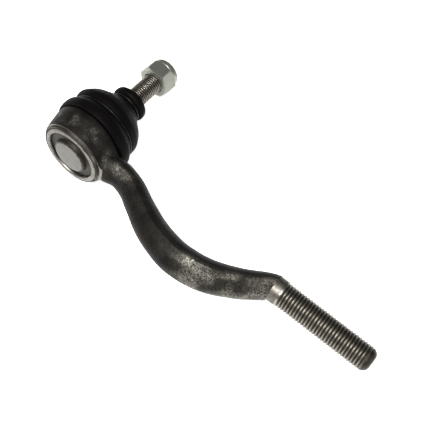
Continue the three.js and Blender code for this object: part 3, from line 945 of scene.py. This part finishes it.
class TIEROD_OT_boot(bpy.types.Operator):
    """Model the moulded rubber boot"""

    bl_idname = "tierod.boot"
    bl_label = "Dust boot"

    def execute(self, context):
        seat = above_ball(BOOT_LOW.y)
        bulge = 23.6
        outline = rounded([
            (HEAD_TOP_R - 0.4, seat + 0.3),
            (HEAD_TOP_R + 1.5, seat, 1.0),
            (BEAD_R, seat + 3.0, 3.0),
            (BEAD_R, seat + 6.4, 4.5),
            (BEAD_R - 2.7, CREASE_Y - 1.0, 1.4),
            (22.4, CREASE_Y - 0.65, 0.3),
            (22.4, CREASE_Y + 0.65, 0.3),
            (bulge + 0.2, CREASE_Y + 1.1, 0.9),
            (bulge + 0.75, CREASE_Y + 5.2, 6.0),
            (bulge - 2.6, CREASE_Y + 10.6, 8.0),
            (bulge - 8.2, CREASE_Y + 15.6, 7.0),
            (11.5, RING_Y - 2.0, 3.2),
            (9.1, RING_Y - 0.95, 0.5),
            (9.1, RING_Y + 0.95, 0.5),
            (11.3, RING_Y + 1.5, 1.0),
            (12.0, RING_Y + 3.1, 1.6),
            (11.7, BOOT_TOP_Y - 1.6, 1.6),
            (9.7, BOOT_TOP_Y, 1.2),
            (7.35, BOOT_TOP_Y, 0.4),
            (7.75, RING_Y - 1, 1.0),
            (11.0, RING_Y - 4.9, 3.0),
            (16.6, CREASE_Y + 11.5, 5.0),
            (19.9, CREASE_Y + 7.7, 4.0),
            (21.4, CREASE_Y + 4.3, 3.0),
            (20.9, CREASE_Y + 1.4, 1.0),
            (20.3, HEAD_END_Y + 0.3),
            (20.3, HEAD_END_Y + 0.3),
            (BOOT_FLANGE_R + 0.3, HEAD_END_Y - 1.3),
            (BOOT_FLANGE_R + 0.3, HEAD_TOP_Y + 5.2),
            (BOOT_GROOVE_R + 0.3, HEAD_TOP_Y + 4.4),
            (BOOT_GROOVE_R + 0.3, HEAD_TOP_Y + 1.1),
        ], 6)
        piece = turn("boot", outline, 144)
        off_centre = Vector((-0.9, 0, 0.2))  # the soft bulge sits a little to one side
        for vertex in piece.data.vertices:
            arm = vertex.co - BALL
            height = arm.y / MM
            broad = noise.noise(vertex.co / (16 * MM)) * 0.4
            fine = noise.noise(vertex.co / (5 * MM)) * 0.07
            above = smooth_step(HEAD_END_Y + 2, CREASE_Y + 4, height)
            below = 1 - smooth_step(RING_Y - 7, RING_Y - 3, height)
            out = Vector((arm.x, 0, arm.z)).normalized()
            vertex.co = vertex.co + (out * (broad + fine) + off_centre) * above * below * MM
        dress(piece, boot_rubber())
        make_active(piece)
        bpy.ops.object.shade_smooth_by_angle(angle=math.radians(40))
        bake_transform(piece)
        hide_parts("dust_boot")
        return {"FINISHED"}


def wire_ring(name, inner_r, height, wire, turn_deg, material):
    """A round wire bent into a ring, its two ends a little apart and closed flat."""
    deselect_all()
    centre = BALL + Vector((inner_r + wire / 2, height, 0)) * MM
    bpy.ops.mesh.primitive_circle_add(vertices=20, radius=wire / 2 * MM, location=centre)
    piece = bpy.context.active_object
    bpy.ops.object.transform_apply(location=True, rotation=True, scale=True)
    bpy.ops.object.mode_set(mode="EDIT")
    bpy.ops.mesh.select_all(action="SELECT")
    bpy.ops.mesh.spin(steps=140, angle=math.radians(352), center=BALL, axis=(0, 1, 0))
    bpy.ops.mesh.select_all(action="SELECT")
    bpy.ops.mesh.select_non_manifold(extend=False)
    bpy.ops.mesh.edge_face_add()
    bpy.ops.mesh.select_all(action="SELECT")
    bpy.ops.transform.rotate(value=math.radians(turn_deg), orient_axis="Y", center_override=BALL)
    close_up(piece)
    piece.name = piece.data.name = name
    return dress(piece, material)


class TIEROD_OT_boot_rings(bpy.types.Operator):
    """Model the two wire rings that hold the boot"""

    bl_idname = "tierod.boot_rings"
    bl_label = "Boot rings"

    def execute(self, context):
        steel = spring_steel()
        lower = wire_ring("lower_ring", 22.45, CREASE_Y, 1.2, 200, steel)
        finish_piece(lower, "socket", ["lower_boot_ring"])
        upper = wire_ring("upper_ring", 9.35, RING_Y, 1.45, 150, steel)
        finish_piece(upper, "boot_collar", ["upper_boot_ring"])
        return {"FINISHED"}


class TIEROD_OT_nut(bpy.types.Operator):
    """Model the chamfered hexagon, crimped collar and tapped hole of the nut"""

    bl_idname = "tierod.nut"
    bl_label = "Self-locking nut"

    def execute(self, context):
        settings = context.scene.tierod_nut
        stud = context.scene.tierod_stud
        flats = settings.across_flats / MM
        corner = flats / math.sqrt(3)
        hex_top = NUT_Y + settings.hex_height / MM
        chamfer = corner - flats / 2
        deselect_all()
        middle = BALL + Vector((0, (NUT_Y + hex_top) / 2, 0)) * MM
        bpy.ops.mesh.primitive_cylinder_add(
            vertices=6, radius=corner * MM, depth=settings.hex_height, location=middle,
            rotation=(math.pi / 2, 0, 0))
        piece = bpy.context.active_object
        bpy.ops.object.transform_apply(location=True, rotation=True, scale=True)
        bpy.ops.object.mode_set(mode="EDIT")
        bpy.ops.mesh.select_all(action="SELECT")
        bpy.ops.transform.rotate(value=math.radians(30), orient_axis="Y", center_override=middle)
        bpy.ops.mesh.bevel(offset=0.35 * MM, segments=3, affect="EDGES")
        bpy.ops.object.mode_set(mode="OBJECT")
        lens = turn("lens", rounded([
            (0, NUT_Y),
            (corner - chamfer * 1.35, NUT_Y, 0.6),
            (corner + 0.1, NUT_Y + chamfer * 0.85),
            (corner + 0.1, hex_top - chamfer * 1.1),
            (corner - chamfer * 1.2, hex_top, 0.6),
            (0, hex_top),
        ]), 128)
        combine(piece, lens, "INTERSECT")
        collar = turn("collar", rounded([
            (0, hex_top - 1),
            (9.3, hex_top - 1),
            (9.3, hex_top + 0.25, 0.5),
            (9.5, hex_top + 0.6, 0.4),
            (9.5, NUT_TOP_Y - 1.5, 1.8),
            (8.5, NUT_TOP_Y - 0.1, 1.4),
            (7.5, NUT_TOP_Y, 0.5),
            (7.4, NUT_TOP_Y - 1.0),
            (0, NUT_TOP_Y - 1.0),
        ]), 96)
        combine(piece, collar, "UNION")
        crimps, crimp_r = 3, 9.85
        for k in range(crimps):
            angle = 2 * math.pi * k / crimps + 0.5
            across, along = crimp_r * math.cos(angle), crimp_r * math.sin(angle)
            spot = BALL + Vector((across, hex_top + 2.6, along)) * MM
            bpy.ops.mesh.primitive_uv_sphere_add(segments=24, ring_count=16, radius=0.8 * MM,
                                                 location=spot)
            dent = bpy.context.active_object
            bpy.ops.object.transform_apply(location=True, rotation=True, scale=True)
            combine(piece, dent, "DIFFERENCE")
        insert_seat = turn("insert_seat", [
            (0, NUT_Y - 1),
            (7.6, NUT_Y - 1),
            (6.8, NUT_Y + 0.7),
            (6.0, NUT_Y + 1.3),
            (6.0, hex_top),
            (INSERT_HIGH.x / MM + 0.1, hex_top),
            (INSERT_HIGH.x / MM + 0.1, hex_top + 3.5),
            (7.4, hex_top + 3.7),
            (7.4, NUT_TOP_Y + 1),
            (0, NUT_TOP_Y + 1),
        ], 96)
        combine(piece, insert_seat, "DIFFERENCE")
        crest = stud.stud_diameter / MM / 2 + 0.04
        tap = thread("tap", "Y", CUT_TOOTH, stud.stud_pitch / MM, crest, NUT_Y - 0.5,
                     hex_top + 0.2)
        combine(piece, tap, "DIFFERENCE")
        dress(piece, zinc_plate("zinc_plated_nut", 0x8E8F87, 0x7A7A60, 0.5, 0.36))
        piece.name = piece.data.name = "nut"
        finish_piece(piece, "nut", ["nut_body"], 30)
        return {"FINISHED"}


class TIEROD_OT_nylon(bpy.types.Operator):
    """Model the nylon locking ring inside the nut's collar"""

    bl_idname = "tierod.nylon"
    bl_label = "Nylon insert"

    def execute(self, context):
        low = above_ball(INSERT_LOW.y)
        high = above_ball(INSERT_HIGH.y)
        outer = INSERT_HIGH.x / MM
        piece = turn("nylon_ring", rounded([
            (outer, low + 1),
            (outer, high, 0.5),
            (6.6, high, 0.7),
            (6.6, low, 0.3),
            (outer, low, 0.3),
            (outer, low + 1),
        ])[:-1], 96)
        dress(piece, plastic("natural_nylon", 0xDDE0D6, 0xC9CCBE, 0.45))
        finish_piece(piece, "nut_insert", ["nut_nylon_insert"])
        return {"FINISHED"}


def add_softbox(name, direction, distance, size, power, colour=0xFFFFFF):
    """A square area light that faces the middle of the object."""
    low, high = CAD_BOX
    middle = (low + high) / 2
    data = bpy.data.lights.new(name, "AREA")
    data.shape = "SQUARE"
    data.size = size
    data.energy = power
    data.color = linear(colour)[:3]
    lamp = bpy.data.objects.new(name, data)
    bpy.context.scene.collection.objects.link(lamp)
    lamp.location = middle + direction.normalized() * distance
    lamp.rotation_mode = "QUATERNION"
    lamp.rotation_quaternion = direction.to_track_quat("Z", "Y")
    return lamp


def camera_axes():
    """The camera's right, up and back directions."""
    azimuth = math.radians(CAMERA_AZIMUTH)
    elevation = math.radians(CAMERA_ELEVATION)
    roll = math.radians(CAMERA_ROLL)
    back = Vector((math.sin(azimuth) * math.cos(elevation),
                   -math.cos(azimuth) * math.cos(elevation), math.sin(elevation)))
    level = Vector((math.cos(azimuth), math.sin(azimuth), 0))
    rise = back.cross(level)
    right = level * math.cos(roll) + rise * math.sin(roll)
    return right, back.cross(right), back


class TIEROD_OT_stage(bpy.types.Operator):
    """Add the floor, soft lights and camera"""

    bl_idname = "tierod.stage"
    bl_label = "Stage"

    def execute(self, context):
        settings = context.scene.tierod_stage
        scene = context.scene
        scene.view_settings.view_transform = "Standard"
        right, up, back = camera_axes()
        data = bpy.data.cameras.new("camera")
        data.lens = 75.05
        data.sensor_width = 36
        camera = bpy.data.objects.new("camera", data)
        scene.collection.objects.link(camera)
        camera.matrix_world = Matrix((right, up, back)).transposed().to_4x4()
        offset = back * CAMERA_BACK_MM + right * CAMERA_RIGHT_MM - up * CAMERA_DOWN_MM
        camera.location = BALL + offset * MM
        data.clip_start, data.clip_end = 0.01, 10
        scene.camera = camera

        deselect_all()
        bpy.ops.mesh.primitive_plane_add(size=8, location=(0, 0, CAD_BOX[0].z - 0.4 * MM))
        floor = context.active_object
        floor.name = floor.data.name = "floor"
        material, tree, shader, _ = start_material("pale_floor", 0.0, 0.9)
        shader.inputs["Base Color"].default_value = settings.floor_colour
        shader.inputs["Emission Color"].default_value = (1, 1, 1, 1)
        shader.inputs["Emission Strength"].default_value = 0.9
        shader.inputs["Specular IOR Level"].default_value = 0.1
        dress(floor, material)

        world = bpy.data.worlds.new("studio")
        scene.world = world
        world.use_nodes = True
        world.node_tree.nodes["Background"].inputs["Color"].default_value = linear(0xEDEDEE)
        world.node_tree.nodes["Background"].inputs["Strength"].default_value = 0.14

        add_softbox("key", right * -0.26 + up * 0.2 + back, 0.8, 0.25, settings.key_power)
        add_softbox("side", right * 1.0 - up * 0.6 + back * 0.5, 0.9, 0.5, settings.key_power * 0.2)
        return {"FINISHED"}


class TIEROD_PT_panel(bpy.types.Panel):
    """Lists the pieces in the sidebar"""

    bl_label = "Tie rod end"
    bl_idname = "TIEROD_PT_panel"
    bl_space_type = "VIEW_3D"
    bl_region_type = "UI"
    bl_category = "Tie rod end"

    def draw(self, context):
        for settings in (context.scene.tierod_forging, context.scene.tierod_stud,
                         context.scene.tierod_nut, context.scene.tierod_stage):
            for name in settings.bl_rna.properties.keys():
                if name not in ("rna_type", "name"):
                    self.layout.prop(settings, name)
        for operator in OPERATORS:
            self.layout.operator(operator.bl_idname)


SETTINGS = {
    "tierod_forging": ForgingSettings,
    "tierod_stud": StudSettings,
    "tierod_nut": NutSettings,
    "tierod_stage": StageSettings,
}
OPERATORS = (
    TIEROD_OT_stage,
    TIEROD_OT_forging,
    TIEROD_OT_inner_rings,
    TIEROD_OT_closing_plate,
    TIEROD_OT_ball_stud,
    TIEROD_OT_boot,
    TIEROD_OT_boot_rings,
    TIEROD_OT_nut,
    TIEROD_OT_nylon,
)


def register():
    for group in SETTINGS.values():
        bpy.utils.register_class(group)
    for operator in (*OPERATORS, TIEROD_PT_panel):
        bpy.utils.register_class(operator)
    for name, group in SETTINGS.items():
        setattr(bpy.types.Scene, name, PointerProperty(type=group))


def unregister():
    for name in SETTINGS:
        delattr(bpy.types.Scene, name)
    for operator in (TIEROD_PT_panel, *reversed(OPERATORS)):
        bpy.utils.unregister_class(operator)
    for group in SETTINGS.values():
        bpy.utils.unregister_class(group)


def main():
    register()
    for operator in OPERATORS:
        group, name = operator.bl_idname.split(".")
        getattr(getattr(bpy.ops, group), name)()


if __name__ == "__main__":
    main()
